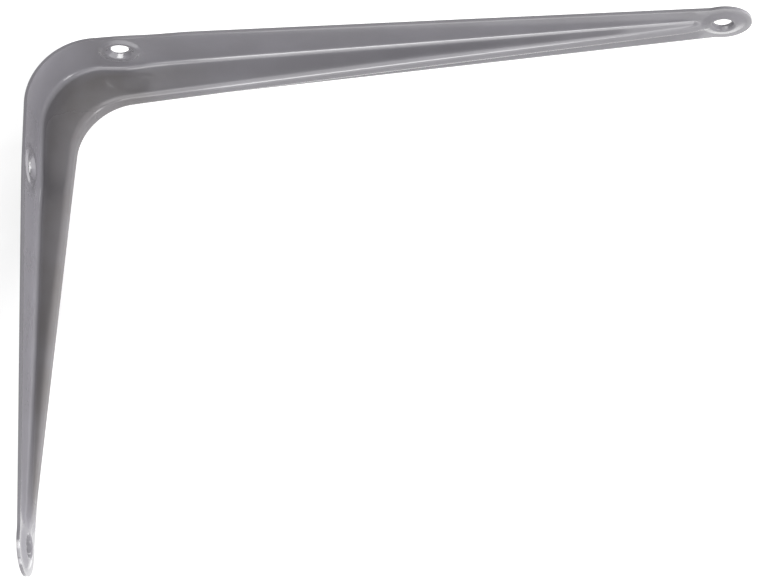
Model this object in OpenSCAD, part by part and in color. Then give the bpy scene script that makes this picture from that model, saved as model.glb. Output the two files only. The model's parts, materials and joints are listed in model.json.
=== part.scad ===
// Pressed steel shelf bracket: one sheet, blanked to a leaf outline, pressed with a
// hollow stiffening rib, dimpled round its screw holes and bent to a right angle.
// The shelf face is z = 0, the wall face is x = 0 and y = 0 is the plane of symmetry.
// The shelf leg runs along +X and the wall leg along -Z.

/* [Legs] */
// Length of the leg under the shelf, from the wall face to its tip
shelf_leg = 200; // [150:1:260]
// Length of the leg on the wall, from the shelf face to its tip
wall_leg = 150; // [120:1:220]
// Outside radius of the bend between the legs
bend_r = 18.5; // [14:0.5:19]

/* [Sheet] */
// Thickness of the steel sheet
sheet = 0.9; // [0.7:0.05:1.1]
// Width of the bracket at the corner
corner_w = 37; // [36:0.5:48]
// Width to which each leg narrows beyond its pair of holes
waist_w = 35.7; // [35:0.1:37]
// Distance from the corner at which each leg begins to taper
taper_at = 45; // [43:1:60]
// Radius of the round tips, each struck from its screw hole
tip_r = 8; // [7.2:0.1:11]
// Flat rim left round the pad at each tip, and how far the leg necks in behind it
tip_rim = 0.6; // [0.4:0.1:1]

/* [Rib] */
// Height of the crest above the wall or shelf face, run back to the corner
rib_corner_h = 12.7; // [9:0.1:15]
// Height of the crest, and of the pad, at a tip hole
rib_tip_h = 1.7; // [1.5:0.05:2.1]
// Radius of the crest where it turns the inner corner
crest_bend_r = 16.5; // [12:0.5:20]
// Flat width along the crest
crest_flat = 1.2; // [0.8:0.1:2]
// Fold radius on each side of the crest
crest_r = 1.2; // [1.15:0.05:1.6]
// Width over the roots of the rib where a leg begins to taper
root_w = 8.2; // [7.6:0.1:9]
// Width over the roots of the rib where it meets a tip pad
root_tip_w = 6.2; // [5.8:0.1:7]
// Fold radius at the roots of the rib
root_r = 1.1; // [0.8:0.1:1.4]
// How far each root spreads in the bend
root_spread = 1.9; // [0:0.1:2.2]
// How far each root draws in beside a pair of holes
root_tuck = 0.9; // [0:0.1:1]

/* [Screw holes] */
// Diameter of the screw holes
hole_d = 5; // [4:0.1:5.6]
// Diameter of the dimple that takes a screw's head
dimple_d = 8.4; // [8:0.1:9]
// Radius of the rounded lip of a dimple
dimple_lip_r = 1; // [0.95:0.05:1.1]
// Flat ring left round each dimple on its raised pad
pad_land = 0.7; // [0.3:0.1:1]
// Distance between the two holes of a pair, across the rib
pair_spacing = 23; // [22.6:0.1:24]
// Height of the pads of the pairs above the wall or shelf face
pair_pad_h = 1.6; // [1.5:0.05:2]
// Run of the slope round the pads of the pairs
pair_slope = 1.3; // [1:0.1:1.5]
// Distance from the end of the bend to the pair in the shelf leg
shelf_pair_run = 6.5; // [6.5:0.5:17]
// Distance from the end of the bend to the pair in the wall leg
wall_pair_run = 16.5; // [6.5:0.5:19]

/* [Hidden] */

// height of the straight wall at the bottom of a screw hole
throat_h = 0.4;
// what the rib's crest and folds gain in the bend
bend_flat = 0.4;
bend_fold = 0.6;
// fold radius of the gentle slope round a pad
pad_fold_r = 1.4;
// length over which the crest comes level before a tip pad
level_run = 4;
// the bend's fuller rib has faded out this far before a pair of holes
pair_gap = 1;
// half the length of the draw in beside a pair, and the run from the pair to the waist
tuck_run = 5.7;
waist_run = 12;
// stations of the loft along each stretch, and points round each fold
pad_steps = 6;
level_steps = 3;
leg_steps = 3;
fan_steps = 7;
bend_steps = 10;
fold_steps = 3;
// facets of a full turn
turn = 96;

half_w = corner_w / 2;
pad_r = dimple_d / 2 + pad_land;
tip_slope = tip_r - tip_rim - pad_r;
pair_r = pad_r + pair_slope;
shelf_pair_at = bend_r + shelf_pair_run;
wall_pair_at = bend_r + wall_pair_run;

// a smooth step from 0 to 1, and a straight blend from a to b
function ease(u) = let (v = min(1, max(0, u))) v * v * (3 - 2 * v);
function mix(a, b, u) = a + (b - a) * u;

// Half width of the outline at s from the corner: full beside the pair of holes, then
// a straight taper that runs into the round of the tip
function outline_w(leg, pair_at, s) =
    let (u = (s - taper_at) / (leg - tip_r - taper_at))
    max(
        min(mix(half_w, waist_w / 2, ease((s - pair_at) / waist_run)),
            mix(waist_w / 2, tip_r - tip_rim, u)),
        round_w(leg, s, tip_r)
    );

// How far the crest has gone over into the round pad at the tip
function pad_share(leg, s) = ease((s - (leg - tip_r - pad_r - level_run)) / level_run);

// Slope of the crest, and its height at s from the corner
function crest_slope(leg) = (rib_corner_h - rib_tip_h) / (leg - tip_r);
function crest_h(leg, s) =
    rib_tip_h + crest_slope(leg) * (leg - tip_r - s) * (1 - pad_share(leg, s));

// Half width of a round of radius r about the tip hole, at s from the corner
function round_w(leg, s, r) = sqrt(max(0, r * r - pow(leg - tip_r - s, 2)));

// Half the flat of the crest, and half the width over the roots, which both open
// into the round pad at the tip
function crest_w(leg, s) = max(crest_flat / 2, round_w(leg, s, pad_r));
function root_half(leg, pair_at, s) =
    let (u = (s - taper_at) / (leg - tip_r - pad_r - taper_at))
    max(
        mix(root_w, root_tip_w, min(1, max(0, u))) / 2
            - root_tuck * exp(-pow((s - pair_at) / tuck_run, 2)),
        round_w(leg, s, pad_r + tip_slope)
    );

// How much of the bend's fuller rib there is at s from the corner
function bend_share(s, pair_at) = ease(1 - s / (pair_at - pair_gap));

// Centre of the crest's inner corner, which is tangent to both sloping crests
slope_s = crest_slope(shelf_leg);
slope_w = crest_slope(wall_leg);
reach_s = rib_corner_h + crest_bend_r * sqrt(1 + slope_s * slope_s);
reach_w = rib_corner_h + crest_bend_r * sqrt(1 + slope_w * slope_w);
crest_x = (reach_w - reach_s * slope_w) / (1 - slope_s * slope_w);
crest_z = -(reach_s - reach_w * slope_s) / (1 - slope_s * slope_w);

// A station of the loft holds the foot on the contact face, the direction off that
// face, the crest, and then half widths and fold radii of the section
FOOT = 0;
OFF = 1;
CREST = 2;
EDGE_W = 3;
CREST_W = 4;
ROOT_W = 5;
CREST_R = 6;
ROOT_R = 7;
function station(foot, off, crest, edge_w, flat_w, root_half_w, bend, pad) = [
    foot, off, crest, edge_w,
    flat_w + bend_flat * bend,
    root_half_w + root_spread * bend,
    mix(crest_r, pad_fold_r, pad) + bend_fold * bend,
    mix(root_r, pad_fold_r, pad) + bend_fold * bend
];

// Stations on a leg; in the bend's lee the crest runs ahead of the foot
function on_leg(shelf, s, h) = shelf ? [s, -h] : [h, -s];
function leg_station(shelf, s) =
    let (
        leg = shelf ? shelf_leg : wall_leg,
        pair_at = shelf ? shelf_pair_at : wall_pair_at,
        crest_end = shelf ? crest_x - crest_bend_r * sin(atan(slope_s))
                          : -crest_z - crest_bend_r * sin(atan(slope_w)),
        crest_s = s < taper_at ? mix(crest_end, taper_at, (s - bend_r) / (taper_at - bend_r)) : s
    )
    station(on_leg(shelf, s, 0), on_leg(shelf, 0, 1),
            on_leg(shelf, crest_s, crest_h(leg, crest_s)),
            outline_w(leg, pair_at, s), crest_w(leg, s), root_half(leg, pair_at, s),
            bend_share(s, pair_at), pad_share(leg, s));

// Stations round the bend, u from 0 at the shelf leg to 1 at the wall leg
function bend_station(u) =
    let (
        a = 90 * u,
        c = mix(atan(slope_s), 90 - atan(slope_w), u),
        pair_at = mix(shelf_pair_at, wall_pair_at, u),
        from_corner = bend_r * (1 - min(sin(a), cos(a)))
    )
    station([bend_r * (1 - sin(a)), -bend_r * (1 - cos(a))], [sin(a), -cos(a)],
            [crest_x - crest_bend_r * sin(c), crest_z + crest_bend_r * cos(c)],
            half_w, crest_flat / 2, root_half(shelf_leg, pair_at, from_corner),
            bend_share(from_corner, pair_at), 0);

// Distances from the corner of a leg's stations, from the tip hole to the bend
function leg_stops(leg) =
    let (hole = leg - tip_r, pad = hole - pad_r, level = pad - level_run)
    concat(
        [for (i = [0 : pad_steps]) hole - pad_r * sin(90 * i / pad_steps)],
        [for (i = [1 : level_steps]) mix(pad, level, i / level_steps)],
        [for (i = [1 : leg_steps]) mix(level, taper_at, i / leg_steps)],
        [for (i = [1 : fan_steps]) mix(taper_at, bend_r, i / fan_steps)]
    );
function reversed(list) = [for (i = [len(list) - 1 : -1 : 0]) list[i]];

stations = concat(
    [for (s = leg_stops(shelf_leg)) leg_station(true, s)],
    [for (i = [1 : bend_steps - 1]) bend_station(i / bend_steps)],
    [for (s = reversed(leg_stops(wall_leg))) leg_station(false, s)]
);

// Half a section of one face of the sheet, crest to edge, as [across, height]. skin is
// 0 on the rib's outer face and the sheet's thickness on its hollow face.
function half_face(st, skin) =
    let (
        crest_c = [st[CREST_W], norm(st[CREST] - st[FOOT]) - st[CREST_R]],
        root_c = [st[ROOT_W], sheet + st[ROOT_R]],
        run = root_c - crest_c,
        lean = atan2(run[0], -run[1])
             - asin(min(1, (st[CREST_R] + st[ROOT_R]) / norm(run))),
        arc = 90 - lean
    )
    concat(
        [for (i = [0 : fold_steps]) let (a = arc * i / fold_steps)
            crest_c + (st[CREST_R] - skin) * [sin(a), cos(a)]],
        [for (i = [fold_steps : -1 : 0]) let (a = arc * i / fold_steps)
            root_c - (st[ROOT_R] + skin) * [sin(a), cos(a)]],
        [[st[EDGE_W], sheet - skin]]
    );

// Outline of the half section, crest to edge on the outer face and back in the hollow
function half_section(st) = concat(half_face(st, 0), reversed(half_face(st, sheet)));

// A section's point in space. Up to the sheet's thickness it stands straight off the
// contact face, and above that it lies on the line to the crest.
function in_space(st, p) =
    let (
        top = st[FOOT] + sheet * st[OFF],
        share = (p[1] - sheet) / (norm(st[CREST] - st[FOOT]) - sheet),
        at = p[1] > sheet ? mix(top, st[CREST], share) : st[FOOT] + p[1] * st[OFF]
    )
    [at[0], p[0], at[1]];

// The closed ring of a station: one half section and its mirror image
function ring(st) =
    let (half = half_section(st))
    concat(
        [for (p = half) in_space(st, p)],
        [for (p = reversed(half)) in_space(st, [-p[0], p[1]])]
    );

// The sheet from one tip hole to the other, with its rib and its bend. Each end is
// closed by strips across the sheet's thickness.
module pressed_sheet() {
    rings = [for (st = stations) ring(st)];
    count = len(rings[0]);
    half = count / 2;
    last = (len(rings) - 1) * count;
    strips = concat(
        [for (side = [0, half]) for (j = [0 : half / 2 - 2])
            let (a = side + j, b = side + half - 1 - j) [a, a + 1, b - 1, b]],
        [[0, half - 1, half, count - 1]]
    );
    polyhedron(
        points = [for (r = rings) each r],
        faces = concat(
            [for (strip = strips) reversed(strip)],
            [for (strip = strips) [for (j = strip) last + j]],
            [for (i = [0 : len(rings) - 2]) for (j = [0 : count - 1])
                let (a = i * count, b = a + count, k = (j + 1) % count)
                each [[a + j, b + k, b + j], [a + j, a + k, b + k]]]
        )
    );
}

// Frames of the two legs: X along the leg, Z off the shelf or the wall
module on_shelf_leg() rotate([180, 0, 0]) children();
module on_wall_leg() rotate([0, 90, 0]) children();

// The round end beyond a tip hole: the section at the hole, swung round it
module tip_end(shelf) {
    leg = shelf ? shelf_leg : wall_leg;
    half = half_section(leg_station(shelf, leg - tip_r));
    height = half[0][1];
    translate([leg - tip_r, 0, 0])
        rotate([0, 0, -90])
            rotate_extrude(angle = 180, $fn = turn)
                polygon(concat([[0, height - sheet], [0, height]], half));
}

// Screw hole in the bottom of a countersunk dimple, pressed into a pad of height h
// and drawn down level with the contact face
module dimple(h) {
    lip = [dimple_d / 2, h - dimple_lip_r];
    throat = [hole_d / 2, throat_h];
    run = lip - throat;
    sink = atan2(run[1], run[0]) + asin(dimple_lip_r / norm(run));
    foot = throat + sheet * [sin(sink), -cos(sink)];
    rotate_extrude($fn = turn)
        polygon(concat(
            [for (i = [0 : fold_steps]) let (a = sink * i / fold_steps)
                lip + dimple_lip_r * [-sin(a), cos(a)]],
            [throat, [throat[0], 0], [foot[0] - foot[1] / tan(sink), 0]],
            [for (i = [fold_steps : -1 : 0]) let (a = sink * i / fold_steps)
                lip + (dimple_lip_r - sheet) * [-sin(a), cos(a)]]
        ));
}

// Raised ring of sheet round a dimple of a pair, sloping down to the flat flange
module pair_pad() {
    rise = pair_pad_h - sheet;
    slope = [for (i = [0 : fold_steps * 2])
        let (u = i / (fold_steps * 2)) [pad_r + pair_slope * u, rise * (1 - ease(u))]];
    rotate_extrude($fn = turn)
        polygon(concat(
            [[dimple_d / 2, rise]], slope,
            reversed([for (p = slope) p + [0, sheet]]), [[dimple_d / 2, pair_pad_h]]
        ));
}

// Places of a leg's holes, in the leg's frame
module at_tip_hole(leg) translate([leg - tip_r, 0, 0]) children();
module at_pair(pair_at) {
    for (side = [-1, 1])
        translate([pair_at, side * pair_spacing / 2, 0]) children();
}

module leg_cuts(leg, pair_at) {
    at_tip_hole(leg) cylinder(d = dimple_d, h = corner_w, center = true, $fn = turn);
    at_pair(pair_at) cylinder(r = pair_r, h = corner_w, center = true, $fn = turn);
}

module leg_holes(leg, pair_at) {
    at_tip_hole(leg) dimple(rib_tip_h);
    at_pair(pair_at) {
        pair_pad();
        dimple(pair_pad_h);
    }
}

module bracket() {
    color([0.47, 0.47, 0.49]) {
        difference() {
            union() {
                pressed_sheet();
                on_shelf_leg() tip_end(true);
                on_wall_leg() tip_end(false);
            }
            on_shelf_leg() leg_cuts(shelf_leg, shelf_pair_at);
            on_wall_leg() leg_cuts(wall_leg, wall_pair_at);
        }
        on_shelf_leg() leg_holes(shelf_leg, shelf_pair_at);
        on_wall_leg() leg_holes(wall_leg, wall_pair_at);
    }
}

bracket();
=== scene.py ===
import json
from math import asin, atan, atan2, cos, exp, hypot, pi, radians, sin, sqrt

import bmesh
import bpy
from mathutils import Matrix, Vector


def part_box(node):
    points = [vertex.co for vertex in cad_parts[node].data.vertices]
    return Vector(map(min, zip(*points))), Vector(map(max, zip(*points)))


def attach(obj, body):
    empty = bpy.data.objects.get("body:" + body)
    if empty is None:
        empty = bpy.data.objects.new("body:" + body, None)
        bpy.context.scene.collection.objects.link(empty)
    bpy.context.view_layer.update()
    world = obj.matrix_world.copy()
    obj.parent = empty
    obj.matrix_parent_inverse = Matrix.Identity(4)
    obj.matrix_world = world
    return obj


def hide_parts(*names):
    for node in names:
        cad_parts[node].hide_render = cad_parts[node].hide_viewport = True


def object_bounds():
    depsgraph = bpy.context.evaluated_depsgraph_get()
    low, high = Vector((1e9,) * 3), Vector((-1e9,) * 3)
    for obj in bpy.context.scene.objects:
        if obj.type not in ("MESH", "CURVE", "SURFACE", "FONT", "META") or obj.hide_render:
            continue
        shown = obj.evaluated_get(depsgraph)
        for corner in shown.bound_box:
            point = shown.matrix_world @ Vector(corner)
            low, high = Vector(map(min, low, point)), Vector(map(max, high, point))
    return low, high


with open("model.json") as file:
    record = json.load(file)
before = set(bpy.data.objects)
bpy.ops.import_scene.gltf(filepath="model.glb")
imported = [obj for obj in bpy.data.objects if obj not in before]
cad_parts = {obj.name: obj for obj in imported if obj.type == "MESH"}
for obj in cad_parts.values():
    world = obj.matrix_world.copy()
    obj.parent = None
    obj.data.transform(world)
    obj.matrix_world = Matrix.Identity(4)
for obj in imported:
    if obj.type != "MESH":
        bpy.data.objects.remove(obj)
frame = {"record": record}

cad_box = [list(corner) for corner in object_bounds()]

# --- Camera ----------------------------------------------------------------------
# It stands in front of the bracket and below it, and looks up under the shelf leg
# along the inner side of the angle.
camera = bpy.data.cameras.new("camera")
camera.lens = 164.03
viewer = bpy.data.objects.new("viewer", camera)
viewer.matrix_world = (
    Matrix.Translation((0.22241, -0.83773, -0.46327))
    @ Matrix.Rotation(radians(8.59), 4, "Z")
    @ Matrix.Rotation(radians(90 + 24.667), 4, "X")
    @ Matrix.Rotation(radians(-0.3855), 4, "Z")
)
bpy.context.scene.collection.objects.link(viewer)
bpy.context.scene.camera = viewer
bpy.context.scene.view_settings.view_transform = "Standard"

# --- Bracket ---------------------------------------------------------------------
# One sheet of soft steel, 0.9 mm thick, blanked to a leaf outline and pressed in one
# stroke with its hollow rib, its pads and its dimples. It is then folded to a right
# angle over a former, so the rib stands inside the bend.
mm = 0.001
mounts = {m["name"]: m for m in frame["record"]["mounts"]}
sheet = 0.9 * mm
tip_r = 8 * mm
shelf_leg = mounts["shelf_tip_screw"]["pos_m"][0] + tip_r
wall_leg = -mounts["wall_tip_screw"]["pos_m"][2] + tip_r
half_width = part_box("bracket")[1].y
hole_r = mounts["shelf_tip_screw"]["dims"]["r_mm"] * mm
shelf_pair = mounts["shelf_screws"]["pos_m"][0]
wall_pair = -mounts["wall_screws"]["pos_m"][2]
pair_y = mounts["shelf_screws"]["dims"]["spacing_y_mm"] / 2 * mm

# the outline is full at the pair of holes, has a waist past it, and tapers to the tip
bend_r = 18.5 * mm
waist = 17.85 * mm
waist_run = 12 * mm
taper_at = 45 * mm
neck = 7.4 * mm

# levels of the rib over the contact face, and the radius of its crest in the bend
rib_corner = 12.7 * mm
nose_level = 1.95 * mm
nose_length = 9 * mm
crest_turn = 16.5 * mm

# the rib's half width at its top and its root, and the radii of its folds, in mm: near
# the corner, at the tip, and what the bend adds
flat_top, root_width = (0.75, 1.0, 0.2), (4.1, 3.1, 1.9)
crest_fold, root_fold = (1.8, 0.9, 0.5), (1.3, 0.85, 0.6)
root_pinch = 0.9 * mm
root_pinch_run = 5.7 * mm

# the pads, and the dimples that are pressed back through them for screw heads
tip_pad_level = 1.6 * mm
tip_dimple_r = 3.7 * mm
tip_slope = 2.6 * mm
pair_pad_level = 1.3 * mm
pair_dimple_r = 4.2 * mm
pair_pad_r = 4.9 * mm
pair_slope = 1.3 * mm
lip_r = 1.0 * mm
throat = 0.4 * mm

fold_steps, wall_steps, flange_steps, pair_steps, bend_steps = 6, 4, 14, 12, 26
same_place = 0.01 * mm


def ease(u):
    u = min(1, max(0, u))
    return u * u * (3 - 2 * u)


def mix(a, b, u):
    return a + (b - a) * u


# nought at the start and before it, one at the end and past it
def ramp(value, start, end):
    return ease((value - start) / (end - start))


# length of a leg, and the place of its pair of holes
def leg_sizes(shelf):
    return (shelf_leg, shelf_pair) if shelf else (wall_leg, wall_pair)


def rise(leg):
    return (rib_corner - nose_level) / (leg - tip_r)


def crest_level(leg, s):
    straight = nose_level + rise(leg) * (leg - tip_r - s)
    nose_at = leg - tip_r - nose_length
    return mix(straight, tip_pad_level, ramp(s, nose_at, nose_at + nose_length / 2))


def half_outline(leg, pair, s):
    lobe = mix(half_width, waist, ramp(s, pair, pair + waist_run))
    side = mix(waist, neck, (s - taper_at) / (leg - tip_r - taper_at))
    return max(min(lobe, side), sqrt(max(0, tip_r**2 - (leg - tip_r - s) ** 2)))


def fold_size(size, bend, tip):
    return (mix(size[0], size[1], tip) + size[2] * bend) * mm


# a section of the sheet: where its foot stands, which way is off the contact face,
# where its crest is, and its half widths and fold radii
def section(foot, off, crest, edge, root, bend, tip):
    return {
        "foot": Vector(foot), "off": Vector(off), "crest": Vector(crest), "edge": edge,
        "flat": fold_size(flat_top, bend, tip), "root": root + root_width[2] * bend * mm,
        "crest_r": fold_size(crest_fold, bend, tip), "root_r": fold_size(root_fold, bend, tip),
    }


slope_s, slope_w = rise(shelf_leg), rise(wall_leg)
reach_s = rib_corner + crest_turn * sqrt(1 + slope_s**2)
reach_w = rib_corner + crest_turn * sqrt(1 + slope_w**2)
turn_x = (reach_w - reach_s * slope_w) / (1 - slope_s * slope_w)
turn_z = -(reach_s - reach_w * slope_s) / (1 - slope_s * slope_w)


def on_leg(shelf, s, y, level):
    return Vector((s, y, -level)) if shelf else Vector((level, y, -s))


def root_half(leg, s, pair):
    taper = (s - taper_at) / (leg - tip_r - pair_pad_r - taper_at)
    pinch = root_pinch * exp(-(((s - pair) / root_pinch_run) ** 2))
    return mix(root_width[0], root_width[1], min(1, max(0, taper))) * mm - pinch


# the bend's share in a section, which has faded out by the pair of holes
def bend_share(s, pair):
    return ease(1 - s / (pair - 1 * mm))


def leg_section(shelf, s):
    leg, pair = leg_sizes(shelf)
    crest_end = (turn_x - crest_turn * sin(atan(slope_s)) if shelf
                 else -turn_z - crest_turn * sin(atan(slope_w)))
    ahead = mix(crest_end, taper_at, (s - bend_r) / (taper_at - bend_r)) if s < taper_at else s
    return section(
        on_leg(shelf, s, 0, 0), on_leg(shelf, 0, 0, 1),
        on_leg(shelf, ahead, 0, crest_level(leg, ahead)), half_outline(leg, pair, s),
        root_half(leg, s, pair), bend_share(s, pair), ease(s / (leg - tip_r) * 2 - 1),
    )


def bend_section(u):
    a = pi / 2 * u
    c = mix(atan(slope_s), pi / 2 - atan(slope_w), u)
    s = bend_r * (1 - min(sin(a), cos(a)))
    leg, pair = mix(shelf_leg, wall_leg, u), mix(shelf_pair, wall_pair, u)
    return section(
        (bend_r * (1 - sin(a)), 0, -bend_r * (1 - cos(a))), (sin(a), 0, -cos(a)),
        (turn_x - crest_turn * sin(c), 0, turn_z + crest_turn * cos(c)), half_width,
        root_half(leg, s, pair), bend_share(s, pair), 0,
    )


# centres of the crest's and the root's folds, and the angle that each turns through
def folds(st):
    crest = Vector((st["flat"], (st["crest"] - st["foot"]).length - st["crest_r"]))
    root = Vector((st["root"], sheet + st["root_r"]))
    run = root - crest
    lean = atan2(run.x, -run.y) - asin(min(1, (st["crest_r"] + st["root_r"]) / run.length))
    return crest, root, pi / 2 - lean


# the outer face of half a section, from the rib's middle line out to the cut edge, with
# one narrow band beside the root's fold and one beside the edge
root_band = 0.9 * mm
edge_band = 0.25 * mm


def half_face(st):
    crest, root, arc = folds(st)
    angles = [arc * i / fold_steps for i in range(fold_steps + 1)]
    face = [Vector((0, crest.y + st["crest_r"]))]
    face += [crest + st["crest_r"] * Vector((sin(a), cos(a))) for a in angles]
    foot = root - st["root_r"] * Vector((sin(arc), cos(arc)))
    face += [face[-1].lerp(foot, i / wall_steps) for i in range(1, wall_steps)]
    face += [root - st["root_r"] * Vector((sin(a), cos(a))) for a in reversed(angles)]
    inner, outer = st["root"] + root_band, st["edge"] - edge_band
    face += [Vector((mix(inner, outer, i / (flange_steps - 2)), sheet))
             for i in range(flange_steps - 1)]
    return face + [Vector((st["edge"], sheet))]


def in_space(st, p):
    top = st["foot"] + sheet * st["off"]
    at = top.lerp(st["crest"], (p.y - sheet) / ((st["crest"] - st["foot"]).length - sheet))
    return Vector((at.x, p.x, at.z))


# the level of the rib's outer face at a place on a leg's plan
def rib_level(shelf, s, y):
    if s > leg_sizes(shelf)[0] - tip_r - 0.6 * tip_dimple_r:
        return sheet
    st = leg_section(shelf, s)
    crest, root, arc = folds(st)
    y = abs(y)
    if y < crest.x:
        return crest.y + st["crest_r"]
    if y < crest.x + st["crest_r"] * sin(arc):
        return crest.y + sqrt(st["crest_r"] ** 2 - (y - crest.x) ** 2)
    if y > root.x:
        return sheet
    if y > root.x - st["root_r"] * sin(arc):
        return root.y - sqrt(st["root_r"] ** 2 - (root.x - y) ** 2)
    top = crest + st["crest_r"] * Vector((sin(arc), cos(arc)))
    foot = root - st["root_r"] * Vector((sin(arc), cos(arc)))
    return mix(top.y, foot.y, (y - top.x) / (foot.x - top.x))


# places of the sections along a leg, from the tip's round end to the bend: the row round
# the pair of pads has its own even steps
tip_gap = 7.5 * mm
pair_half = pair_slope + pair_pad_r + 0.3 * mm


def stops(shelf):
    leg, pair = leg_sizes(shelf)
    first, taper_end = leg - tip_r - tip_gap, taper_at + 3 * mm
    marks = [(first, taper_end, 40), (taper_end, pair + pair_half, 6 if shelf else 3),
             (pair + pair_half, pair - pair_half, pair_steps),
             (pair - pair_half, bend_r, 1 if shelf else 6)]
    places = [first]
    for start, end, steps in marks:
        if start - end > same_place:
            places += [mix(start, end, i / steps) for i in range(1, steps + 1)]
    return places


shelf_stops, wall_stops = stops(True), stops(False)
sections = [leg_section(True, s) for s in shelf_stops]
sections += [bend_section(i / bend_steps) for i in range(1, bend_steps)]
sections += [leg_section(False, s) for s in reversed(wall_stops)]

# the blank is a grid with one row for each section and one line for each place across
across = len(half_face(sections[0])) - 1
rows = len(sections) - 1
bpy.ops.object.select_all(action="DESELECT")
bpy.ops.mesh.primitive_grid_add(x_subdivisions=rows, y_subdivisions=2 * across, size=2)
bracket = bpy.context.object
bracket.name = bracket.data.name = "pressed_bracket"
blank = bracket.data
for v in blank.vertices:
    v.co = (round((v.co.x + 1) / 2 * rows), round(v.co.y * across), 0)

# the pads' places are left open in the blank, and so is the pair's row on both legs
shelf_first = next(i for i, s in enumerate(shelf_stops)
                   if abs(s - shelf_pair - pair_half) < same_place)
wall_first = rows - next(i for i, s in enumerate(wall_stops)
                         if abs(s - wall_pair - pair_half) < same_place)
flange_line = across - flange_steps + 1
bpy.ops.object.mode_set(mode="EDIT")
bpy.ops.mesh.select_mode(type="FACE")
bpy.ops.mesh.select_all(action="DESELECT")
bpy.ops.object.mode_set(mode="OBJECT")
for face in blank.polygons:
    on_pads = flange_line < abs(face.center.y) < across - 1
    in_rows = (shelf_first < face.center.x < shelf_first + pair_steps
               or wall_first - pair_steps < face.center.x < wall_first)
    face.select = on_pads and in_rows
bpy.ops.object.mode_set(mode="EDIT")
bpy.ops.mesh.delete(type="FACE")
bpy.ops.object.mode_set(mode="OBJECT")

# the rib is pressed
faces = [half_face(st) for st in sections]
for v in blank.vertices:
    i, j = round(v.co.x), round(v.co.y)
    p = faces[i][abs(j)]
    v.co = in_space(sections[i], Vector((-p.x if j < 0 else p.x, p.y)))


# radius and level of each ring of a dimple, from the flat of its pad to its throat
cone_steps = 4


def dimple(level, top_r):
    lip = Vector((top_r, level - lip_r))
    run = lip - Vector((hole_r, throat))
    sink = atan2(run.y, run.x) + asin(lip_r / run.length)
    arc = [lip + lip_r * Vector((-sin(a), cos(a)))
           for a in (sink * i / fold_steps for i in range(fold_steps + 1))]
    cone = [arc[-1].lerp(Vector((hole_r, throat)), i / cone_steps)
            for i in range(1, cone_steps + 1)]
    return [(p.x, p.y) for p in arc + cone] + [(hole_r, throat / 2), (hole_r, 0)]


# the selected loop is drawn in, ring by ring, towards a hole's axis
def draw_in(shelf, s, y, rings, level_at=None):
    for radius, level in rings:
        bpy.ops.mesh.extrude_edges_move()
        bm = bmesh.from_edit_mesh(bpy.context.object.data)
        for v in bm.verts:
            if v.select:
                along = (v.co.x if shelf else -v.co.z) - s
                over = v.co.y - y
                k = radius / hypot(along, over)
                to_s, to_y = s + k * along, y + k * over
                at = level if level_at is None else max(level, level_at(to_s, to_y))
                v.co = on_leg(shelf, to_s, to_y, at)
        bmesh.update_edit_mesh(bpy.context.object.data)


def slope_rings(inner, run, level, steps):
    down = [1 - i / steps for i in range(steps + 1)]
    return [(inner + run * u, mix(level, sheet, (u + ease(u)) / 2)) for u in down]


pair_rings = slope_rings(pair_pad_r, pair_slope, pair_pad_level, 6)
pair_rings += [(mix(pair_pad_r, pair_dimple_r, 0.5), pair_pad_level)]
pair_rings += dimple(pair_pad_level, pair_dimple_r)
bpy.ops.object.mode_set(mode="EDIT")
bpy.ops.mesh.select_mode(type="EDGE")
for shelf, s in ((True, shelf_pair), (False, wall_pair)):
    for y in (-pair_y, pair_y):
        bpy.ops.mesh.select_all(action="DESELECT")
        bm = bmesh.from_edit_mesh(blank)
        middle = on_leg(shelf, s, y, sheet)
        leg = leg_sizes(shelf)[0]
        for e in bm.edges:
            inside = min(half_outline(leg, s, v.co.x if shelf else -v.co.z) - abs(v.co.y)
                         for v in e.verts)
            near = max((v.co - middle).length for v in e.verts) < 10 * mm
            e.select = e.is_boundary and near and inside > 0.1 * mm
        bm.select_flush(True)
        bmesh.update_edit_mesh(blank)
        draw_in(shelf, s, y, pair_rings)
bpy.ops.object.mode_set(mode="OBJECT")

# the round tips are drawn in the same way from a loop that starts on the sheet's end
# row and follows the outline round the tip
pad_rings = slope_rings(tip_dimple_r, tip_slope, tip_pad_level, 14)
side_steps, round_steps = 8, 40
tips = []
for shelf in (True, False):
    leg, pair = leg_sizes(shelf)
    hole = leg - tip_r
    end = leg_section(shelf, hole - tip_gap)
    end_face = half_face(end)
    chain = [(hole - tip_gap, p.x) for p in reversed(end_face[1:])]
    chain += [(hole - tip_gap, -p.x) for p in end_face]
    side = [mix(hole - tip_gap, hole, i / side_steps) for i in range(1, side_steps)]
    chain += [(s, -half_outline(leg, pair, s)) for s in side]
    chain += [(hole + tip_r * sin(a), -tip_r * cos(a))
              for a in (pi * i / round_steps for i in range(round_steps + 1))]
    chain += [(s, half_outline(leg, pair, s)) for s in reversed(side)]
    bpy.ops.object.select_all(action="DESELECT")
    bpy.ops.mesh.primitive_circle_add(vertices=len(chain), radius=tip_r, fill_type="NOTHING")
    tip = bpy.context.object
    for v, (s, y) in zip(tip.data.vertices, chain):
        v.co = on_leg(shelf, s, y, rib_level(shelf, s, y))
    bpy.ops.object.mode_set(mode="EDIT")
    bpy.ops.mesh.select_all(action="SELECT")
    draw_in(shelf, hole, 0, pad_rings, lambda s, y: rib_level(shelf, s, y))
    draw_in(shelf, hole, 0, dimple(tip_pad_level, tip_dimple_r)[1:])
    bpy.ops.object.mode_set(mode="OBJECT")
    tips.append(tip)

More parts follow.
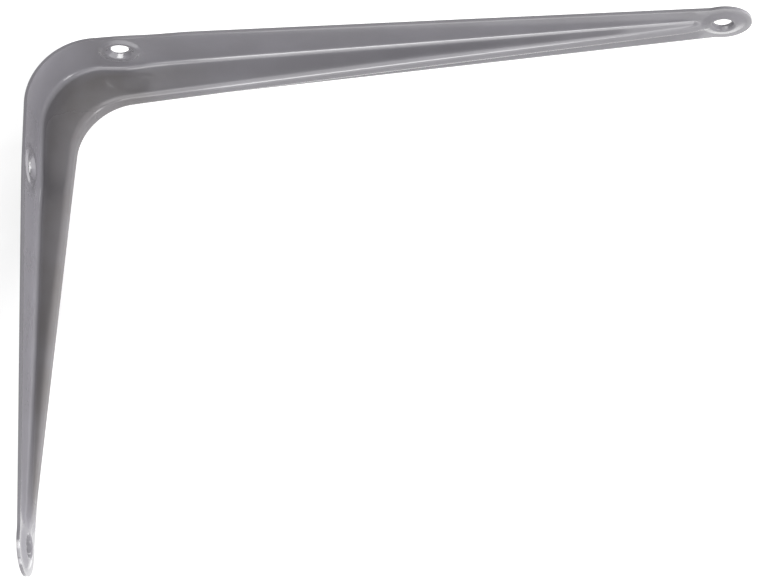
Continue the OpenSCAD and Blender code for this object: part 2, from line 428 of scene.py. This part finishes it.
for piece in tips:
    piece.select_set(True)
bracket.select_set(True)
bpy.context.view_layer.objects.active = bracket
bpy.ops.object.join()
bpy.ops.object.mode_set(mode="EDIT")
bpy.ops.mesh.select_all(action="SELECT")
bpy.ops.mesh.remove_doubles(threshold=0.000002)
bpy.ops.mesh.normals_make_consistent(inside=False)
bpy.ops.object.mode_set(mode="OBJECT")
flange = min(blank.polygons, key=lambda f: (f.center - Vector((0.1, 0.01, -sheet))).length)
if flange.normal.z > 0:
    blank.flip_normals()

# the sheet gets its thickness towards the wall and the shelf, and its cut edges are
# left slightly round under the enamel
thickness = bracket.modifiers.new("thickness", "SOLIDIFY")
thickness.thickness = sheet
thickness.offset = -1
thickness.use_even_offset = True
thickness.material_offset_rim = 1
round_edges = bracket.modifiers.new("round_edges", "BEVEL")
round_edges.width = 0.38 * mm
round_edges.segments = 4
round_edges.limit_method = "ANGLE"
round_edges.angle_limit = radians(55)
round_edges.material = 1
bpy.ops.object.modifier_apply(modifier="thickness")
bpy.ops.object.modifier_apply(modifier="round_edges")
bpy.ops.object.shade_smooth_by_angle(angle=radians(40))
weights = bracket.modifiers.new("weights", "WEIGHTED_NORMAL")
weights.keep_sharp = True
bpy.ops.object.modifier_apply(modifier="weights")


# the share of a place in the runs of thick enamel: round the pads, on the far side only
# at a tip, along the cut edges past the pair, and on the shelf leg's folds
def thick_share(shelf, s, y, level):
    leg, pair = leg_sizes(shelf)
    from_tip_hole = hypot(s - leg + tip_r, y)
    tip_ring = ramp(from_tip_hole, 3.3 * mm, 3.9 * mm) * ramp(from_tip_hole, 6.8 * mm, 6 * mm)
    pair_ring = ramp(hypot(s - pair, abs(y) - pair_y), 7 * mm, 6 * mm)
    share = max(tip_ring * ramp(y / from_tip_hole, -0.1, 0.5), pair_ring)

    round_end = s > leg - tip_r
    to_edge = tip_r - from_tip_hole if round_end else half_outline(leg, pair, s) - abs(y)
    if s > pair and level > sheet - 0.3 * mm and to_edge < 0.45 * mm:
        share = 1

    if shelf and from_tip_hole > 6 * mm:
        below_crest, over_sheet = crest_level(leg, s) - level, level - sheet
        on_crest = ramp(below_crest, 0.6 * mm, 0.35 * mm) * ramp(abs(y), 0.8 * mm, 1.3 * mm)
        on_root = ramp(over_sheet, 0, 0.1 * mm) * ramp(over_sheet, 0.7 * mm, 0.4 * mm)
        share = max(share, max(on_crest, on_root) * ramp(s, 40 * mm, 55 * mm))
    return share


# each point also has its share of painted shade, which darkens the rib in the bend, down the
# wall leg and near the bend on the shelf leg, and its share in the crest that handling has
# rubbed matt in the bend and down the wall leg
glaze = blank.attributes.new("glaze", "FLOAT", "POINT")
film = blank.attributes.new("film", "FLOAT", "POINT")
rubbed = blank.attributes.new("rubbed", "FLOAT", "POINT")
for v, thick, shaded, matt in zip(blank.vertices, glaze.data, film.data, rubbed.data):
    x, y, z = v.co
    shelf = x > -z
    s, level = (x, -z) if shelf else (-z, x)
    thick.value = thick_share(shelf, s, y, level)
    if max(x, -z) < bend_r:
        level = bend_r - hypot(bend_r - x, bend_r + z)
    on_rib = ramp(level, 1.6 * mm, 3.1 * mm)
    from_tip_hole = hypot(s - leg_sizes(shelf)[0] + tip_r, y)
    # painted shade: full on the rib in the bend and down the wall leg, fading out along the
    # shelf leg between 15 and 60 mm
    shaded.value = on_rib * ramp(x, 60 * mm, 15 * mm)
    matt.value = on_rib * ramp(-z, 9 * mm, 22 * mm) * ramp(from_tip_hole, 9 * mm, 15 * mm)


# shader values as plain arithmetic: an expression on them adds its Math nodes
class Wire:
    def __init__(self, nodes, socket):
        self.nodes, self.socket = nodes, socket

    def maths(self, operation, *values):
        return self.nodes.add("ShaderNodeMath", {"operation": operation}, values)["Value"]

    def __add__(self, other):
        return self.maths("ADD", self, other)

    def __sub__(self, other):
        return self.maths("SUBTRACT", self, other)

    def __rsub__(self, other):
        return self.maths("SUBTRACT", other, self)

    def __mul__(self, other):
        return self.maths("MULTIPLY", self, other)

    __radd__, __rmul__ = __add__, __mul__


class Made:
    def __init__(self, nodes, node):
        self.nodes, self.node = nodes, node

    def __getitem__(self, name):
        return Wire(self.nodes, self.node.outputs[name])


class Nodes:
    def __init__(self, owner):
        owner.use_nodes = True
        self.tree = owner.node_tree
        self.tree.nodes.clear()

    def add(self, kind, settings=None, values=()):
        node = self.tree.nodes.new(kind)
        for name, value in (settings or {}).items():
            setattr(node, name, value)
        named = values.items() if isinstance(values, dict) else enumerate(values)
        for place, value in named:
            if isinstance(value, Wire):
                self.tree.links.new(value.socket, node.inputs[place])
            else:
                node.inputs[place].default_value = value
        return Made(self, node)

    def blend(self, share, under, over):
        made = self.add("ShaderNodeMix", {"data_type": "RGBA"}, {0: share, 6: under, 7: over})
        return Wire(self, made.node.outputs[2])


# Stoved grey enamel. It flows out glossy with a slight orange peel and a few dust nibs,
# runs together over folds, pads and edges, and pulls thin and warm over the cut edges.
# Shade is painted in as a cloudy darkening of the rib inside the bend and down the wall leg,
# and handling rubs the crest matt.
enamel_grey = (0.135, 0.131, 0.144, 1)
enamel_thick = (0.12, 0.116, 0.126, 1)
enamel_dust = (0.32, 0.31, 0.3, 1)
# painted shade: the dark grey that the rib is blended towards inside the bend and down the wall
# leg
enamel_painted_shade = (0.085, 0.079, 0.077, 1)
edge_brown = (0.35, 0.302, 0.31, 1)


def enamel_coat(name, grey, rough, bare_edge):
    made = bpy.data.materials.new(name)
    nodes = Nodes(made)
    place = nodes.add("ShaderNodeTexCoord")["Object"]

    def share(finish):
        return nodes.add("ShaderNodeAttribute", {"attribute_name": finish})["Fac"]

    def noise(scale, detail, roughness=0.5):
        return nodes.add("ShaderNodeTexNoise", {}, {
            "Vector": place, "Scale": scale, "Detail": detail, "Roughness": roughness})["Fac"]

    def band(value, low, high):
        return nodes.add("ShaderNodeMapRange", {"interpolation_type": "SMOOTHSTEP"}, {
            "Value": value, "From Min": low, "From Max": high})["Result"]

    clouds = band(noise(70, 3), 0.3, 0.7)
    grain = noise(900, 4, 0.6)
    specks = nodes.add("ShaderNodeTexVoronoi", {"feature": "F1"}, {
        "Vector": place, "Scale": 160, "Randomness": 1})
    size = nodes.add("ShaderNodeSeparateColor", {}, {0: specks["Color"]})["Red"]
    nib = (1 - band(specks["Distance"], 0.012, 0.03)) * band(size, 0.86, 0.9)
    peel = noise(420, 2, 0.4)

    colour = nodes.blend(clouds * 0.7 + grain * 0.3, grey, enamel_thick)
    if bare_edge:
        colour = nodes.blend(band(noise(260, 4, 0.6), 0.4, 0.75) * 0.6, colour, edge_brown)
    # painted shade, clouded, darkens the rib inside the bend and down the wall leg
    colour = nodes.blend(share("film") * (clouds * 0.3 + 0.5), colour, enamel_painted_shade)
    colour = nodes.blend(nib * 0.5, colour, enamel_dust)
    bump = nodes.add("ShaderNodeBump", {}, {
        "Strength": 1.0, "Distance": 0.00001, "Height": peel + grain * 0.05 + nib * 2.5})
    skin = nodes.add("ShaderNodeBsdfPrincipled", {}, {
        "Base Color": colour, "IOR": 1.5, "Normal": bump["Normal"],
        "Roughness": rough + clouds * 0.04 + grain * 0.04 + nib * 0.2 + share("rubbed") * 0.25,
        "Coat Weight": share("glaze"), "Coat IOR": 1.7, "Coat Roughness": 0.05})
    nodes.add("ShaderNodeOutputMaterial", {}, {"Surface": skin["BSDF"]})
    return made


bracket.data.materials.append(enamel_coat("enamel", enamel_grey, 0.13, False))
bracket.data.materials.append(enamel_coat("enamel_on_cut_edge", edge_brown, 0.14, True))
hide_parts("bracket")
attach(bracket, "root")

# --- Stage -----------------------------------------------------------------------
# The bracket lies on its side on a white table, which the viewer looks across, and a
# white tent stands round both. Soft lamps shine in from below, from above, and from
# before it on both sides, and a tall lamp and a small one stand off beside it.
table_y = cad_box[1][1] + 0.2 * mm
bpy.ops.object.select_all(action="DESELECT")
bpy.ops.mesh.primitive_plane_add(size=6)
table = bpy.context.object
table.name = "table"
for v in table.data.vertices:
    v.co = (v.co.x, table_y, v.co.y)
bpy.context.view_layer.update()
if table.data.polygons[0].normal.y > 0:
    table.data.flip_normals()

# the table glows only towards the viewer and in reflections, and less on the outer side
# of the wall leg, where the leg's shadow falls; from behind it is clear
table_top = bpy.data.materials.new("table_top")
nodes = Nodes(table_top)
ray = nodes.add("ShaderNodeLightPath")
place = nodes.add("ShaderNodeTexCoord")["Object"]
inner_side = nodes.add("ShaderNodeMapRange", {"interpolation_type": "SMOOTHSTEP"}, {
    "Value": nodes.add("ShaderNodeSeparateXYZ", {}, {0: place})["X"],
    "From Min": -0.004, "From Max": 0.008})["Result"]
white = nodes.add("ShaderNodeBsdfDiffuse", {}, {"Color": (0.5, 0.5, 0.5, 1)})
glow = nodes.add("ShaderNodeEmission", {}, {
    "Color": (1, 1, 1, 1),
    "Strength": ray["Is Camera Ray"] * (inner_side * 0.5 + 0.35) + ray["Is Glossy Ray"] * 0.45})
face = nodes.add("ShaderNodeAddShader", {}, (white["BSDF"], glow["Emission"]))
clear = nodes.add("ShaderNodeBsdfTransparent")
behind = nodes.add("ShaderNodeNewGeometry")["Backfacing"]
one_sided = nodes.add("ShaderNodeMixShader", {}, (behind, face["Shader"], clear["BSDF"]))
nodes.add("ShaderNodeOutputMaterial", {}, {"Surface": one_sided["Shader"]})
table.data.materials.append(table_top)

# the tent is white to the viewer and in reflections, and lights the bracket only a little
world = bpy.data.worlds.new("tent")
bpy.context.scene.world = world
nodes = Nodes(world)
ray = nodes.add("ShaderNodeLightPath")
seen = nodes.add("ShaderNodeMath", {"operation": "MAXIMUM"}, (
    ray["Is Camera Ray"], ray["Is Glossy Ray"]))["Value"]
tent = nodes.add("ShaderNodeBackground", {}, {
    "Color": (1, 1, 1, 1), "Strength": seen * 0.6 + 0.2})
nodes.add("ShaderNodeOutputWorld", {}, {"Surface": tent["Background"]})


# a lamp at a place, aimed at another, with its size and its power in watts; one that is
# not mirrored lights the enamel without a bright image in it
def soft_lamp(name, shape, place, aim, size, power, mirrored=True):
    lamp = bpy.data.lights.new(name, "AREA")
    lamp.shape = shape
    lamp.size, lamp.size_y = size
    lamp.energy = power
    stand = bpy.data.objects.new(name, lamp)
    stand.matrix_world = Matrix.Translation(place) @ (
        Vector(place) - Vector(aim)).to_track_quat("Z", "Y").to_matrix().to_4x4()
    stand.visible_glossy = mirrored
    bpy.context.scene.collection.objects.link(stand)


soft_lamp("lamp_below", "ELLIPSE", (-0.1, -0.05, -0.95), (0.05, 0, 0), (0.6, 0.6), 4.3)
soft_lamp("lamp_below_tip", "ELLIPSE", (0.2, -0.1, -0.95), (0.1, 0, 0), (0.5, 0.5), 0.5)
soft_lamp("lamp_below_bend", "ELLIPSE", (0.65, -0.12, -0.7), (0.05, 0, 0), (0.25, 0.25), 2)
soft_lamp("lamp_beside", "RECTANGLE", (2, -0.22, -0.3), (0, -0.11, -0.2), (0.5, 2.6), 84,
          mirrored=False)
soft_lamp("lamp_for_edge", "RECTANGLE", (0.9, -0.26, 0.33), (0, 0, -0.1), (0.3, 0.15), 3,
          mirrored=False)
soft_lamp("lamp_above", "RECTANGLE", (0.6, -0.15, 0.75), (0, 0, -0.06), (0.5, 0.6), 7)
soft_lamp("lamp_left", "ELLIPSE", (-0.5, -0.9, -0.3), (0.02, 0, -0.06), (0.8, 0.8), 6.8)
soft_lamp("lamp_front", "ELLIPSE", (-0.05, -0.85, -0.65), (0.02, 0, -0.06), (1.2, 1.2), 8.4)
